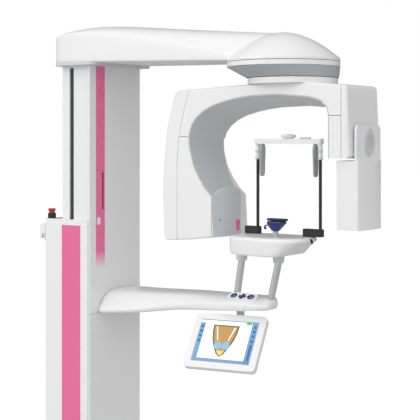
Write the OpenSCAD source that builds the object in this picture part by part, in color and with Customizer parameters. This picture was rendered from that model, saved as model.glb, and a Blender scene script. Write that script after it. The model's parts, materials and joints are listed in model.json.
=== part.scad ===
// Panoramic dental X-ray machine on a free-standing base.
// Origin: centre of the column's plan on the floor. +X is the way the arms reach,
// -Y is the operator's side, +Z is up. Every size is in millimetres.

/* [Column] */
// Width of the column, side to side
col_w = 280; // [270:1:290]
// Depth from the column's back to its front face
col_d = 212; // [208:1:216]
// Height of the standing part of the column
col_top = 1321; // [1310:1:1330]
// Wall of the standing part
col_wall = 10; // [8:0.5:11]
// Lower end of the moving column
tele_z0 = 450; // [440:1:460]
// Upper end of the moving column
tele_z1 = 1862; // [1855:1:1870]
// Radius of the front cover's upright edges
front_r = 5; // [3:0.5:5]

/* [Base] */
// Reach of the base plate in front of the column's centre
base_front = 610; // [560:5:640]
// Width of the base plate
base_w = 620; // [580:5:660]
// Thickness of the base plate
base_t = 12; // [10:1:15]

/* [Shoulder and turret] */
// Distance from the column's centre to the turret's axis
turret_x = 815; // [810:1:820]
// Radius of the dome and of the turret's rim
dome_r = 182; // [178:1:184]
// Top of the shoulder at its highest point
shoulder_top = 2007; // [2000:1:2015]

/* [C-arm] */
// Offset of the rotation axis from the turret's axis
arm_offset = 35; // [30:1:38]
// Width of the C-arm
arm_w = 200; // [196:1:204]
// Wall of the covers
shell_t = 4; // [3:0.5:5]
// Gap at each seam between two covers
seam = 1.2; // [0.8:0.1:1.5]

/* [Patient support] */
// Underside of the patient table
table_z = 1238; // [1236:1:1240]
// Thickness of the patient table
table_t = 61; // [58:1:64]
// Radius of the temple support's rods
rod_r = 5; // [4.5:0.5:6]

/* [Touch screen] */
// Width of the screen's housing
screen_w = 250; // [240:1:256]
// Height of the screen's housing
screen_h = 195; // [185:1:200]
// Turn of the screen away from the operator's side
screen_turn = 11; // [8:1:14]
// Lean of the screen from upright
screen_lean = 37; // [33:1:40]

/* [Hidden] */
$fn = 64;

eps = 0.5;
hw = col_w / 2;                    // half the column's width
front_x = col_d / 2;               // front face of the column
back_x = -col_d / 2;               // back face of the column
u_front = front_x - 8;             // front edges of the standing part
back_r = 6;                        // radius of its rear edges
inner_y = hw - col_wall;           // inside of the standing part's walls
tele_y = inner_y - 2;              // half the moving column's width
tele_x0 = -34;                     // back of the moving column
tele_x1 = front_x - 10;            // front of the moving column, under its cover
tele_wall = 5;
slot_x0 = 2;                       // rear edge of the moving column's side slot
slot_w = 20;
slot_d = 9;
cover_seam_z = 994;                // seam between the two front covers
cap_t = 20;
screw_x = -60;                     // axis of the lift screw
screw_r = 8;
fit = 0.05;                        // running clearance of a shaft in its bore
nut_z = 600;
rail_y = 80;
rail_w = 20;
estop_x = -88;
estop_y = -123;
estop_r = 14.5;
estop_z = 1345;                    // underside of the button's head
hole_x = 110;                      // half spacing of the floor anchors
hole_y = 210;
hole_r = 6.5;
wall_z = 1160;                     // centre of the wall bracket
wall_dy = 64;                      // half spacing of the wall bracket's holes
wall_dz = 35;
inlet_y = -38;                     // centre of the mains inlet
inlet_z = 150;                     // its lower edge

collar_t = 13;
shoulder_z0 = tele_z1 + collar_t;  // underside of the shoulder over the column
dome_z0 = 1852.5;
ring_z0 = 1836;
ring_z1 = 1851;
arm_x = turret_x + arm_offset;     // rotation axis of the C-arm
neck_r = 144;
neck_z = 1799;
pivot_r = 30;                      // turret's hollow shaft
arm_shaft_r = 25;
drive_ring_r = 71.6;
drive_roller_r = 18;
drive_x = arm_x - 90;              // axis of the drive roller

split_z = 1612;                    // seam across the tube head
sensor_split_x = 232;              // seam between the sensor arm and its end cover
sensor_split_z = 1676;
window_x = 228;                    // inner face of the collimator nose, from the rotation axis

table_x0 = arm_x - 180;
table_x1 = arm_x + 104;
table_y0 = -156;
table_y1 = 40;
table_top = table_z + table_t;
rod_x = 117;                       // half spacing of the temple rods
rod_y = -25;
bar_z = 1590;
post_y = -40;
chin_y = -101;
chin_r = 9;
key_z = 1093;
key_tilt = 28;
hinge = [655, -54, 992];           // tilt axis of the touch screen
pan = [660, -18];                  // upright pan axis of the touch screen

// Points on an arc about c from angle a0 to a1.
function arc(c, r, a0, a1, n = 8) =
    [for (i = [0:n]) c + r * [cos(a0 + (a1 - a0) * i / n), sin(a0 + (a1 - a0) * i / n)]];

// Rectangle with round corners.
function round_rect(x0, x1, y0, y1, r, n = 8) = concat(
    arc([x1 - r, y1 - r], r, 0, 90, n), arc([x0 + r, y1 - r], r, 90, 180, n),
    arc([x0 + r, y0 + r], r, 180, 270, n), arc([x1 - r, y0 + r], r, 270, 360, n));

// Plan outline drawn up from z0 to z1.
module slab(pts, z0, z1) {
    translate([0, 0, z0]) linear_extrude(height = z1 - z0) polygon(pts);
}

// Outline in X and Z drawn along Y.
module side_slab(pts, y0, y1) {
    translate([0, y0, 0]) mirror([0, 1, 0]) rotate([90, 0, 0])
        linear_extrude(height = y1 - y0) polygon(pts);
}

// Outline in Y and Z drawn along X.
module front_slab(pts, x0, x1) {
    translate([x0, 0, 0]) rotate([90, 0, 90]) linear_extrude(height = x1 - x0) polygon(pts);
}

module block(x0, x1, y0, y1, z0, z1) {
    translate([x0, y0, z0]) cube([x1 - x0, y1 - y0, z1 - z0]);
}

module rod(x, y, z0, z1, r) {
    translate([x, y, z0]) cylinder(r = r, h = z1 - z0);
}

module both_sides() {
    children();
    mirror([0, 1, 0]) children();
}

// ---------- base and standing column ----------

module base_plate() {
    color("gainsboro") difference() {
        slab(round_rect(-150, base_front, -base_w / 2, base_w / 2, 60), 0, base_t);
        for (x = [-hole_x, hole_x], y = [-hole_y, hole_y]) rod(x, y, -eps, base_t + eps, hole_r);
    }
}

module foot_brackets() {
    leg = 50;
    color("silver") both_sides() {
        block(-80, 60, hw, hw + 6, base_t, base_t + leg);
        block(-80, 60, hw + 6, hw + leg - 4, base_t, base_t + 6);
        for (x = [-60, 40]) rod(x, hw + 28, base_t + 6, base_t + 13, 8);
    }
}

// The standing column's plan: a U open to the front.
function u_plan() = concat(
    [[u_front, -hw]], arc([back_x + back_r, -hw + back_r], back_r, 270, 180),
    arc([back_x + back_r, hw - back_r], back_r, 180, 90),
    [[u_front, hw], [u_front, inner_y], [back_x + col_wall, inner_y],
     [back_x + col_wall, -inner_y], [u_front, -inner_y]]);

stripe_x0 = -24;
stripe_x1 = 63;
stripe_t = 2;

module stationary_column() {
    color("white") difference() {
        slab(u_plan(), base_t, col_top - cap_t);
        both_sides() block(stripe_x0, stripe_x1, -hw - eps, -hw + stripe_t, 60, col_top);
        block(back_x - eps, back_x + col_wall + eps, inlet_y - 20, inlet_y + 20, inlet_z, inlet_z + 30);
    }
}

module side_stripes() {
    color("hotpink") both_sides()
        block(stripe_x0, stripe_x1, -hw, -hw + stripe_t, 60, col_top - cap_t);
}

module column_cap() {
    color("white") difference() {
        slab(concat([[u_front, -hw]], arc([back_x + back_r, -hw + back_r], back_r, 270, 180),
                    arc([back_x + back_r, hw - back_r], back_r, 180, 90),
                    [[u_front, hw], [u_front, inner_y], [tele_x0 - 2, inner_y],
                     [tele_x0 - 2, -inner_y], [u_front, -inner_y]]), col_top - cap_t, col_top);
        block(back_x + col_wall, tele_x0 - 4, -inner_y, inner_y, col_top - cap_t - eps, col_top - 5);
    }
}

module wall_bracket() {
    plate_x = back_x - 34;
    color("silver") difference() {
        union() {
            block(plate_x, plate_x + 8, -88, 88, wall_z - 60, wall_z + 60);
            both_sides() block(plate_x + 8, back_x, 44, 84, wall_z - 20, wall_z + 20);
        }
        for (y = [-wall_dy, wall_dy], z = [-wall_dz, wall_dz])
            translate([plate_x - eps, y, wall_z + z]) rotate([0, 90, 0]) cylinder(r = 4.5, h = 8 + 2 * eps);
    }
}

module hand_switch_hook() {
    top = col_top - cap_t;
    color("whitesmoke")
        side_slab([[back_x, top], [back_x, top - 58], [back_x - 4, top - 60], [back_x - 4.5, top - 36],
                   [back_x - 16, top - 36], [back_x - 17, top - 50], [back_x - 20, top - 53],
                   [back_x - 24, top - 50], [back_x - 24, top - 4], [back_x - 20, top]], -hw, -hw + 28);
}

module estop_base() {
    color("black") difference() {
        rod(estop_x, estop_y, col_top, col_top + 19, estop_r);
        rod(estop_x, estop_y, col_top - eps, col_top + 20, 5 + fit);
        rod(estop_x, estop_y, col_top + 9, col_top + 20, 11);
    }
}

module estop_button() {
    color("red") {
        rod(estop_x, estop_y, col_top + 6, estop_z - 8, 5);
        translate([estop_x, estop_y, estop_z - 8]) rotate_extrude()
            polygon([[0, 0], [10.5, 0], [10.5, 9], [13.8, 14], [14.3, 17], [12, 19], [0, 19.5]]);
    }
}

module lift_motor() {
    color("dimgray") {
        block(-94, -38, -45, 45, base_t, 86);
        rod(screw_x, 0, 86, 120, 21);
    }
}

module lift_screw() {
    color("silver") {
        rod(screw_x, 0, 120.5, 1282, screw_r);
        rod(screw_x, 0, 1282.5, 1288, 4);
        rod(screw_x, 0, 1282, 1282.5, 6);
    }
}

module screw_bearings() {
    color("gray") for (z = [124, 1256]) difference() {
        block(back_x + col_wall, -40, -24, 24, z, z + 18);
        rod(screw_x, 0, z - eps, z + 18 + eps, screw_r + fit);
    }
}

module guide_rails() {
    color("silver") both_sides()
        block(back_x + col_wall, back_x + col_wall + 12, rail_y - rail_w / 2, rail_y + rail_w / 2, 30, 1292);
}

module mains_inlet() {
    z0 = inlet_z;
    color("black") difference() {
        block(back_x - 3, back_x + 22, inlet_y - 20, inlet_y + 20, z0, z0 + 30);
        difference() {
            block(back_x - 4, back_x + 14, inlet_y - 13, inlet_y + 13, z0 + 6, z0 + 24);
            for (y = [-7, 0, 7])
                block(back_x, back_x + 16, inlet_y + y - 1, inlet_y + y + 1, z0 + 12, z0 + 18);
        }
    }
}

// ---------- moving column ----------

module telescopic_column() {
    w = tele_wall;
    inner_w = tele_y - w - slot_d;
    color("whitesmoke") difference() {
        slab(round_rect(tele_x0, tele_x1, -tele_y, tele_y, 4, 3), tele_z0, tele_z1);
        block(tele_x0 + w, tele_x1 - w, -inner_w, inner_w, tele_z0 - eps, tele_z1 + eps);
        both_sides() block(slot_x0, slot_x0 + slot_w, -tele_y - eps, -tele_y + slot_d, tele_z0 - eps, tele_z1 - 6);
    }
}

// Front cover: a panel with round upright edges, and the ribs that hold it to the moving column.
module front_cover(z0, z1) {
    x0 = u_front + 3;
    y = hw - 1;
    slab(concat([[x0, -y]], arc([front_x - front_r, -y + front_r], front_r, 270, 360, 5),
                arc([front_x - front_r, y - front_r], front_r, 0, 90, 5), [[x0, y]]), z0, z1);
    both_sides() for (rib = [60, 110]) block(tele_x1, x0, rib - 4, rib + 4, z0 + 4, z1 - 4);
}

stripe_y0 = -105;
stripe_y1 = -58;
front_stripe_z0 = 1148;

module front_cover_upper() {
    color("white") difference() {
        front_cover(cover_seam_z + seam, tele_z1);
        block(front_x - 1.5, front_x + eps, stripe_y0, stripe_y1, front_stripe_z0, tele_z1 - 2);
        block(tele_x1 - eps, front_x + eps, -24, 26, cover_seam_z + 6, 1064);
    }
}

module front_cover_lower() {
    color("white") front_cover(tele_z0, cover_seam_z);
}

module front_stripe() {
    color("hotpink") block(front_x - 1.5, front_x, stripe_y0, stripe_y1, front_stripe_z0, tele_z1 - 2);
}

module lift_nut() {
    color("goldenrod") difference() {
        block(screw_x - 22, tele_x0, -24, 24, nut_z, nut_z + 44);
        rod(screw_x, 0, nut_z - eps, nut_z + 44 + eps, screw_r + fit);
    }
}

module guide_blocks() {
    gap = 0.5;
    x_rail = back_x + col_wall;
    color("dimgray") both_sides() for (z = [480, 780]) difference() {
        block(x_rail + 3, tele_x0, rail_y - 20, rail_y + 20, z, z + 90);
        block(x_rail, x_rail + 12 + gap, rail_y - rail_w / 2 - gap, rail_y + rail_w / 2 + gap, z - eps, z + 90 + eps);
    }
}

// ---------- shoulder ----------

module top_collar() {
    color("gainsboro") slab(round_rect(-52, 150, -165, 165, 40), tele_z1, shoulder_z0);
}

// Upright slices of the shoulder: x, half width, height of its crease, height of its ridge.
shoulder_slices = [
    [-74, 96, 1950, 1964], [-64, 128, 1958, 1972], [-36, 154, 1964, 1981], [6, 165, 1970, shoulder_top - 14],
    [106, 165, 1971, shoulder_top], [300, 147, 1957, shoulder_top - 17], [436, 134.5, 1930, shoulder_top - 30],
    [633, 116.5, 1889, shoulder_top - 47], [690, 111, 1868, shoulder_top - 52], [812, 100, 1860, shoulder_top - 62]];

function shoulder_low(x) = shoulder_z0 - 22 * (x + 74) / 886;

// Half of a slice from its foot to its ridge, drawn in by "inset".
function shoulder_side(v, inset) = let(w = v[1] - inset, low = shoulder_low(v[0]) + inset, c = v[2] - inset * 0.6,
    rise = v[3] - inset - c) [[w - 6, low], [w, low + 6], [w, c], [w * 0.93, c + rise * 0.33],
    [w * 0.8, c + rise * 0.6], [w * 0.62, c + rise * 0.8], [w * 0.4, c + rise * 0.93], [w * 0.15, c + rise]];

// Shoulder body, drawn in by "inset" on every side.
module shoulder_body(inset) {
    last = len(shoulder_slices) - 1;
    hull() for (i = [0:last]) let(v = shoulder_slices[i], side = shoulder_side(v, inset),
                                  x = v[0] + (i == 0 ? inset : i == last ? -inset : 0))
        front_slab(concat(side, [for (k = [len(side) - 1:-1:0]) [-side[k][0], side[k][1]]]), x - 0.1, x + 0.1);
}

module shoulder_cover() {
    color("white") difference() {
        shoulder_body(0);
        shoulder_body(shell_t);
        block(-200, 150.3, -170, 170, 1800, shoulder_z0);
        block(-58, 140, -120, 120, shoulder_z0 - 2, shoulder_z0 + shell_t + 1);
        translate([turret_x, 0, 0]) rotate_extrude($fn = 96)
            polygon(concat([[0, 1820], [dome_r + 0.5, 1820], [dome_r + 0.5, rim_z + 0.5]], dome_line(0.5)));
    }
}

rim_z = 1860;                      // top of the dome's upright rim

// Quarter outline of the dome from its rim to the middle, raised by "lift".
function dome_line(lift) = [for (i = [14:-1:0]) let(r = (dome_r - 2.5) * i / 14)
    [r, rim_z + 4.5 + lift + (shoulder_top - 62 + 3 - rim_z - 4.5) * (1 - pow(i / 14, 1.85))]];

module dome_cover() {
    inner = dome_line(-5);
    color("white") difference() {
        translate([turret_x, 0, 0]) rotate_extrude($fn = 96) polygon(concat(
            [[dome_r - shell_t, dome_z0], [dome_r, dome_z0], [dome_r, rim_z]], dome_line(0),
            [for (i = [len(inner) - 1:-1:1]) inner[i]], [[dome_r - shell_t, rim_z - 2]]));
        block(turret_x - 190, turret_x - 100, -66, 66, 1840, 1925);
    }
}

// Steel beam from the column's top to the turret's bearing.
module shoulder_frame() {
    z0 = shoulder_z0 + 6;
    color("slategray") difference() {
        union() {
            block(-56, turret_x, -60, 60, z0, z0 + 8);
            both_sides() block(-56, turret_x - 120, 52, 60, z0 + 8, z0 + 40);
            block(-50, 136, -110, 110, shoulder_z0, z0);
            rod(turret_x, 0, 1858, 1893, 62);
        }
        rod(turret_x, 0, 1850, 1900, pivot_r + fit);
    }
}

// ---------- turret ----------

module turret_ring() {
    color("whitesmoke") difference() {
        union() {
            rod(turret_x, 0, ring_z0, ring_z1, dome_r);
            rod(turret_x, 0, ring_z1, 1892, pivot_r);
            rod(turret_x, 0, 1893.5, 1899, pivot_r + 6);
            rod(turret_x, 0, 1892, 1893.5, pivot_r - 2);
            rod(arm_x, 0, 1814, ring_z0, arm_shaft_r + 16);
        }
        rod(arm_x, 0, 1813, ring_z1 + eps, arm_shaft_r + fit);
    }
}

module turret_cone() {
    t = shell_t;
    color("lightgray") difference() {
        hull() {
            rod(turret_x, 0, ring_z0 - 1, ring_z0, dome_r - 1, $fn = 72);
            rod(arm_x, 0, neck_z + 1.5, neck_z + 3, neck_r + 4, $fn = 72);
        }
        hull() {
            rod(turret_x, 0, ring_z0 - 1, ring_z0 + eps, dome_r - 1 - t, $fn = 72);
            rod(arm_x, 0, neck_z, neck_z + 3, neck_r + 4 - t, $fn = 72);
        }
    }
}

module rotation_motor() {
    color("dimgray") difference() {
        rod(drive_x, 0, 1816, ring_z0, 32);
        rod(drive_x, 0, 1815, 1832, 4 + fit);
    }
}

module drive_roller() {
    color("black") {
        rod(drive_x, 0, 1803, 1814, drive_roller_r);
        rod(drive_x, 0, 1814, 1830, 4);
    }
}

// ---------- C-arm ----------

// Outer side outline of the C-arm, from its rotation axis.
function arm_outline() = concat(
    arc([239, 1757], 13, 0, 80, 4),
    [[0, 1788], [-99, 1780], [-243, 1773], [-337, 1769]],
    arc([-382, 1743], 24, 100, 170, 5),
    [[-435, 1641], [-455, 1428]],
    arc([-433, 1280], 14, 185, 262, 4),
    [[-340, 1273], [-246, 1284], [-246, 1560], [188, 1560], [188, 1547], [252, 1547], [260, 1555], [260, 1640]]);

// The opening seen from the operator's side.
opening = [
    [188, 1200], [188, 1678], [182, 1702], [161, 1722], [120, 1734], [3, 1744], [-99, 1741], [-150, 1735],
    [-196, 1726], [-243, 1713], [-280, 1696], [-308, 1675], [-328, 1650], [-339, 1615], [-337, 1579],
    [-323, 1525], [-299, 1480], [-271, 1442], [-246, 1418], [-246, 1200]];
taper_z = 1418;                    // height that the opening's taper is measured from
taper = 0.905;                     // height of the opening at the back over that at the front

module arm_solid(inset) {
    half = arm_w / 2 - inset;
    translate([arm_x, 0, 0]) intersection() {
        side_slab(arm_outline(), -half, half);
        slab(round_rect(-460 + inset, 262 - inset, -half, half, 26), 1200, 1900);
        arm_side_cut();
    }
}

// Keeps all but the far inner edge of the tube head, which slants away.
module arm_side_cut() {
    w = arm_w / 2;
    difference() {
        translate([-500, -150, 1200]) cube([800, 300, 700]);
        hull() {
            slab([[-290, w + 1], [-245, w + 1], [-245, 54]], 1200, 1440);
            slab([[-350, w + 1], [-340, w + 1], [-340, w]], 1620, 1621);
        }
    }
}

module arm_cavity() {
    t = shell_t;
    half = arm_w / 2 - t;
    translate([arm_x, 0, 0]) side_slab(
        [[256, 1552], [256, 1640], [247, 1762], [0, 1783], [-99, 1775], [-243, 1768], [-337, 1764], [-386, 1760],
         [-402, 1740], [-430, 1640], [-450, 1428], [-442, 1292], [-430, 1276], [-250, 1290],
         [-250, 1552]], -half, half);
}

module arm_opening(grow) {
    translate([arm_x, -arm_w / 2 - eps, taper_z]) mirror([0, 1, 0]) rotate([90, 0, 0])
        linear_extrude(height = arm_w + 2 * eps, scale = [1, taper], slices = 1) offset(delta = grow)
            translate([0, -taper_z]) polygon(opening);
}

// Region of the arm left of the seam that runs down behind the tube head.
module rear_region(grow) {
    side_slab([[arm_x - 340 + grow, 1900], [arm_x - 340 + grow, 1769], [arm_x - 384 + grow, 1612],
               [arm_x - 391 + grow, 1530], [arm_x - 391 + grow, 1200], [0, 1200], [0, 1900]], -150, 150);
}

module arm_shell() {
    difference() {
        arm_solid(0);
        arm_cavity();
        arm_opening(shell_t);
    }
}

module beam_cover() {
    color("white") difference() {
        arm_shell();
        rear_region(seam);
        block(arm_x - 500, arm_x - 100, -150, 150, 1100, split_z + seam);
        block(arm_x + sensor_split_x, arm_x + 300, -150, 150, 1500, 1900);
        block(arm_x + 100, arm_x + 300, -150, 150, 1500, sensor_split_z + seam);
    }
}

module tube_head_cover() {
    color("white") difference() {
        arm_shell();
        rear_region(seam);
        block(arm_x - 500, arm_x + 300, -150, 150, split_z, 1900);
        block(arm_x, arm_x + 300, -150, 150, 1100, 1900);
    }
}

module tube_rear_cover() {
    color("white") intersection() {
        difference() {
            arm_solid(0);
            arm_cavity();
        }
        rear_region(0);
    }
}

module arm_liner() {
    color("lightgray") difference() {
        intersection() {
            arm_solid(0);
            arm_opening(shell_t - 0.2);
        }
        arm_opening(0);
    }
}

module sensor_arm_cover() {
    color("white") intersection() {
        arm_shell();
        block(arm_x + 150, arm_x + sensor_split_x, -150, 150, 1500, sensor_split_z);
    }
}

module sensor_end_cover() {
    color("white") difference() {
        arm_shell();
        block(arm_x - 500, arm_x + sensor_split_x + seam, -150, 150, 1100, 1900);
    }
}

module arm_frame() {
    color("silver") {
        block(arm_x - 270, arm_x + 210, -50, 50, 1750, 1761);
        block(arm_x + 198, arm_x + 210, -50, 50, 1560, 1750);
        block(arm_x + 210, arm_x + 256, -40, 40, 1600, 1612);
        block(arm_x - 384, arm_x - 270, -40, 40, 1752, 1758);
    }
}

module tube_housing() {
    color("slategray") {
        rod(arm_x - 384, 0, 1320, 1570, 42);
        rod(arm_x - 374, 0, 1570, 1752, 10);
        translate([arm_x - 384, 0, 1368]) rotate([0, 90, 0]) cylinder(r = 16, h = 120);
    }
}

module collimator_nose() {
    z0 = 1285;
    x_wall = -246;
    color("lightgray") translate([arm_x, 0, 0]) intersection() {
        slab([[x_wall, -98], [-window_x - 4, -60], [-window_x, -36], [-window_x, 34], [-window_x - 4, 43],
              [x_wall, 53]], z0, 1450);
        front_slab(concat([[-99, z0], [54, z0]], [for (i = [0:12]) let(a = 180 * i / 12)
            [-22.5 + 76.5 * cos(a), 1406 + 40 * sin(a)]]), x_wall - 5, -window_x + 5);
    }
}

module arm_neck() {
    color("whitesmoke") difference() {
        union() {
            rod(arm_x, 0, 1780, neck_z, neck_r);
            rod(arm_x, 0, neck_z, neck_z + 13, drive_ring_r);
            rod(arm_x, 0, neck_z + 13, ring_z1 - 1, arm_shaft_r);
        }
        arm_solid(0);
    }
}

module sensor_mount() {
    color("gainsboro") difference() {
        front_slab(round_rect(-66, 66, 1552, 1640, 14), arm_x + 260, arm_x + 264);
        translate([arm_x + 259, 0, 1626]) rotate([0, 90, 0]) cylinder(r = 6.2, h = 9);
    }
}

// ---------- sensor head ----------

module sensor_head() {
    w = 84;
    color("whitesmoke") difference() {
        union() {
            slab([for (p = concat([[208, -w], [280, -w], [284.5, -w + 6], [288, -30], [288, 20], [284, 56],
                                   [276, 74], [262, w], [208, w]])) [arm_x + p[0], p[1]]], 1329, 1540);
            front_slab(round_rect(-75, 78, 1500, 1650, 20), arm_x + 264.5, arm_x + 273);
        }
        translate([arm_x + 240, 0, 1597]) rotate([0, 90, 0]) cylinder(r = 6 + fit, h = 60);
        block(arm_x + 207, arm_x + 211, -20, 20, 1350, 1525);
    }
}

// Lens-shaped knob with finger ribs.
module sensor_knob() {
    big_r = 46.26;
    shift = 18.26;
    x0 = arm_x + 273.5;
    color("lightgray") {
        translate([x0, 0, 1597]) rotate([90, 0, 90]) difference() {
            intersection() {
                translate([shift, 0]) cylinder(r = big_r, h = 6);
                translate([-shift, 0]) cylinder(r = big_r, h = 6);
            }
            for (i = [-2:2]) translate([i * 8 - 1.5, -20, 4]) cube([3, 40, 4]);
        }
        translate([x0 - 9, 0, 1597]) rotate([0, 90, 0]) cylinder(r = 6, h = 9);
    }
}

// ---------- lower arm and keypad ----------

// Upright slice of the lower arm: x, y0, y1, z0, z1, run of the sloping near side, height of its foot.
root_slice = [front_x, -99, 112, 992, 1073, 80, 14];
mid_slice = [448, -66, 88, 1031, 1086, 44, 18];
wide_slice = [640, -88, 66, 1044, 1092, 50, 34];
end_slice = [758, -94, 36, 1055, 1097, 56, 24];

function slice_line(s, t) = let(y0 = s[1] + t, y1 = s[2] - t, z0 = s[3] + t, z1 = s[4] - t) [
    [y0 + 10, z0], [y0, z0 + s[6] * 0.5], [y0 + 2, z0 + s[6]], [y0 + s[5] * 0.5, z1 - 6],
    [y0 + s[5], z1], [y1 - 14, z1], [y1, z1 - 14], [y1, z0 + 8], [y1 - 10, z0]];

module arm_slice(s, t, dx = 0) {
    front_slab(slice_line(s, t), s[0] + dx, s[0] + dx + 1);
}

module lower_arm_body(t) {
    hull() {
        arm_slice(root_slice, t, t == 0 ? 0 : -2);
        arm_slice(mid_slice, t);
    }
    hull() {
        arm_slice(mid_slice, t);
        arm_slice(wide_slice, t);
    }
    hull() {
        arm_slice(wide_slice, t);
        arm_slice(end_slice, t, t == 0 ? 0 : 2);
    }
}

module lower_arm_cover() {
    color("white") difference() {
        lower_arm_body(0);
        lower_arm_body(shell_t);
    }
}

module lower_arm_frame() {
    color("slategray") side_slab([[tele_x1, 1003], [tele_x1, 1058], [752, 1083], [752, 1067]], -20, 22);
}

module arm_end_cap() {
    x0 = end_slice[0] + 1;
    color("whitesmoke") hull() {
        front_slab(slice_line(end_slice, 0), x0, x0 + 1);
        front_slab(slice_line([0, -92, 12, 1056, 1097, 54, 24], 0), x0 + 24, x0 + 25);
        front_slab(slice_line([0, -84, -12, 1060, 1095, 36, 18], 0), x0 + 42, x0 + 43);
        front_slab(slice_line([0, -74, -26, 1066, 1090, 24, 10], 0), x0 + 49, x0 + 50);
    }
}

key_x = 700;
key_y = -64;

module on_keypad() {
    translate([key_x, key_y, key_z]) rotate([key_tilt, 0, 0]) children();
}

key_holes = [[-33, 0], [0, 0], [33, 0]];
key_r = 11;

module keypad_panel() {
    color("white") on_keypad() difference() {
        slab(round_rect(-56, 56, -20, 20, 18), -12, 5);
        for (p = key_holes) rod(p[0], p[1], 1.5, 6, key_r + 0.5);
        rotate([-key_tilt, 0, 0]) translate([-key_x, -key_y, -key_z]) {
            lower_arm_body(0);
            left_post(0.3);
        }
    }
}

module key(p) {
    color("midnightblue") on_keypad() {
        rod(p[0], p[1], 3.2, 6.5, key_r);
    }
}

module key_left() key(key_holes[0]);
module key_centre() key(key_holes[1]);
module key_right() key(key_holes[2]);

// ---------- patient support ----------

// Upright cut of a slanting post between two heights.
module post(x0, x1, z0, z1, r = post_r) {
    lean = atan((x1 - x0) / (z1 - z0));
    intersection() {
        translate([x0, post_y, z0]) rotate([0, lean, 0]) translate([0, 0, -40])
            cylinder(r = r, h = (z1 - z0) / cos(lean) + 80);
        block(0, 1200, -200, 200, z0, z1);
    }
}

post_top = 1211;
post_r = 11.5;

module left_post(grow = 0) {
    post(658.6, 680, 1080, post_top, post_r + grow);
}

module handle_posts() {
    color("lightgray") difference() {
        union() {
            left_post();
            post(790, 821.5, 1080, post_top);
        }
        lower_arm_body(0);
        arm_end_cap();
    }
}

module post_sockets() {
    color("gray") for (x = [680, 822]) {
        rod(x, post_y, post_top, post_top + 16, 12);
        rod(x, post_y, post_top + 16, table_z, 20);
    }
}

module patient_table() {
    chamfer = 14;
    color("white") difference() {
        union() {
            slab(round_rect(table_x0 + 4, table_x1 - 40, table_y0 + chamfer, table_y1 - 8, 76),
                 table_z, table_z + 18);
            slab(round_rect(table_x0, table_x1 - 16, table_y0, table_y1, 88), table_z + 18, table_top - 6);
            slab(round_rect(table_x0 + 5, table_x1, table_y0 + 5, table_y1 - 5, 84), table_top - 6, table_top);
        }
        rod(arm_x, chin_y, table_top - 34, table_top + eps, chin_r + fit);
    }
}

module temple_rods() {
    color("black") for (s = [-1, 1]) {
        rod(arm_x + s * rod_x, rod_y, table_top + 24, bar_z - 50, rod_r);
        block(arm_x + s * rod_x - (s < 0 ? 44 : 58), arm_x + s * rod_x + 7, rod_y - 11, rod_y + 11,
              table_top, table_top + 24);
    }
}

module temple_bar() {
    color("white") difference() {
        union() {
            for (s = [-1, 1]) rod(arm_x + s * rod_x, rod_y, bar_z - 50, bar_z, rod_r + 2);
            slab(round_rect(arm_x - 125, arm_x + 125, rod_y - 13, rod_y + 13, 8), bar_z, bar_z + 16);
        }
        for (s = [-1, 1]) translate([arm_x + s * 84, rod_y, bar_z - eps])
            translate([-22, -7, 0]) cube([44, 14, 11]);
        rod(arm_x, rod_y, bar_z + 6, bar_z + 17, 5 + fit);
    }
}

module temple_knob() {
    color("white") {
        rod(arm_x, rod_y, bar_z + 7, bar_z + 16.5, 5);
        translate([arm_x, rod_y, bar_z + 16.5]) rotate_extrude()
            polygon([[0, 0], [17, 0], [17, 3], [24, 5], [25, 8], [22, 12], [8, 14], [0, 14]]);
    }
}

// Curved temple pad that hangs from the bar; side is -1 or 1.
module temple_pad(side) {
    x = arm_x + side * 97;
    color("gray") translate([x, rod_y, 0]) rotate([0, 0, side < 0 ? 180 : 0]) {
        block(-5, 5, -5, 5, bar_z - 6, bar_z + 9);
        side_slab([[-16, bar_z - 2], [-12, 1576], [-5, 1560], [-4, 1530], [-4, 1500], [-2, 1483], [2, 1483],
                   [4, 1500], [4, 1560], [5, bar_z - 2]], -15, 15);
    }
}

module temple_pad_left() temple_pad(-1);
module temple_pad_right() temple_pad(1);

module chin_post() {
    color("gray") rod(arm_x, chin_y, table_top - 30, table_top + 18, chin_r);
}

module chin_rest() {
    z0 = table_top + 18;
    color("midnightblue") {
        side_slab([[arm_x - 20, z0], [arm_x + 16, z0], [arm_x + 30, z0 + 22], [arm_x + 42, z0 + 34],
                   [arm_x + 42, z0 + 40], [arm_x - 26, z0 + 40], [arm_x - 30, z0 + 14]],
                  chin_y - 17, chin_y + 17);
    }
}

// ---------- touch screen ----------

// Places the screen: x across, y back from its face, z up from its top edge.
module on_screen() {
    translate(hinge) rotate([0, 0, screen_turn]) rotate([-screen_lean, 0, 0]) translate([0, -30, 30])
        children();
}

module screen_housing() {
    color("white") on_screen() difference() {
        union() {
            mirror([0, 1, 0]) rotate([90, 0, 0]) linear_extrude(height = 20)
                polygon(round_rect(-screen_w / 2, screen_w / 2, -screen_h, 0, 14));
            block(-24, 24, 20, 30, -42, -18);
            translate([-24, 30, -30]) rotate([0, 90, 0]) cylinder(r = 12, h = 48);
        }
        translate([-25, 30, -30]) rotate([0, 90, 0]) cylinder(r = 5 + fit, h = 50);
        block(-102, 102, -1, 1.5, -173, -22);
    }
}

// Upright pivot under the arm with two ears and the tilt pin.
module screen_pivot() {
    color("gainsboro") {
        rod(pan[0], pan[1], hinge[2] - 10, 1043.5, 13);
        translate(hinge) rotate([0, 0, screen_turn]) {
            for (s = [-1, 1]) translate([s * 31 - 6, 0, 0]) {
                rotate([0, 90, 0]) cylinder(r = 9, h = 12);
                block(0, 12, 0, 34, -9, 9);
            }
            block(-37, 37, 27, 40, -9, 9);
            translate([-37, 0, 0]) rotate([0, 90, 0]) cylinder(r = 5, h = 74);
        }
    }
}

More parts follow.
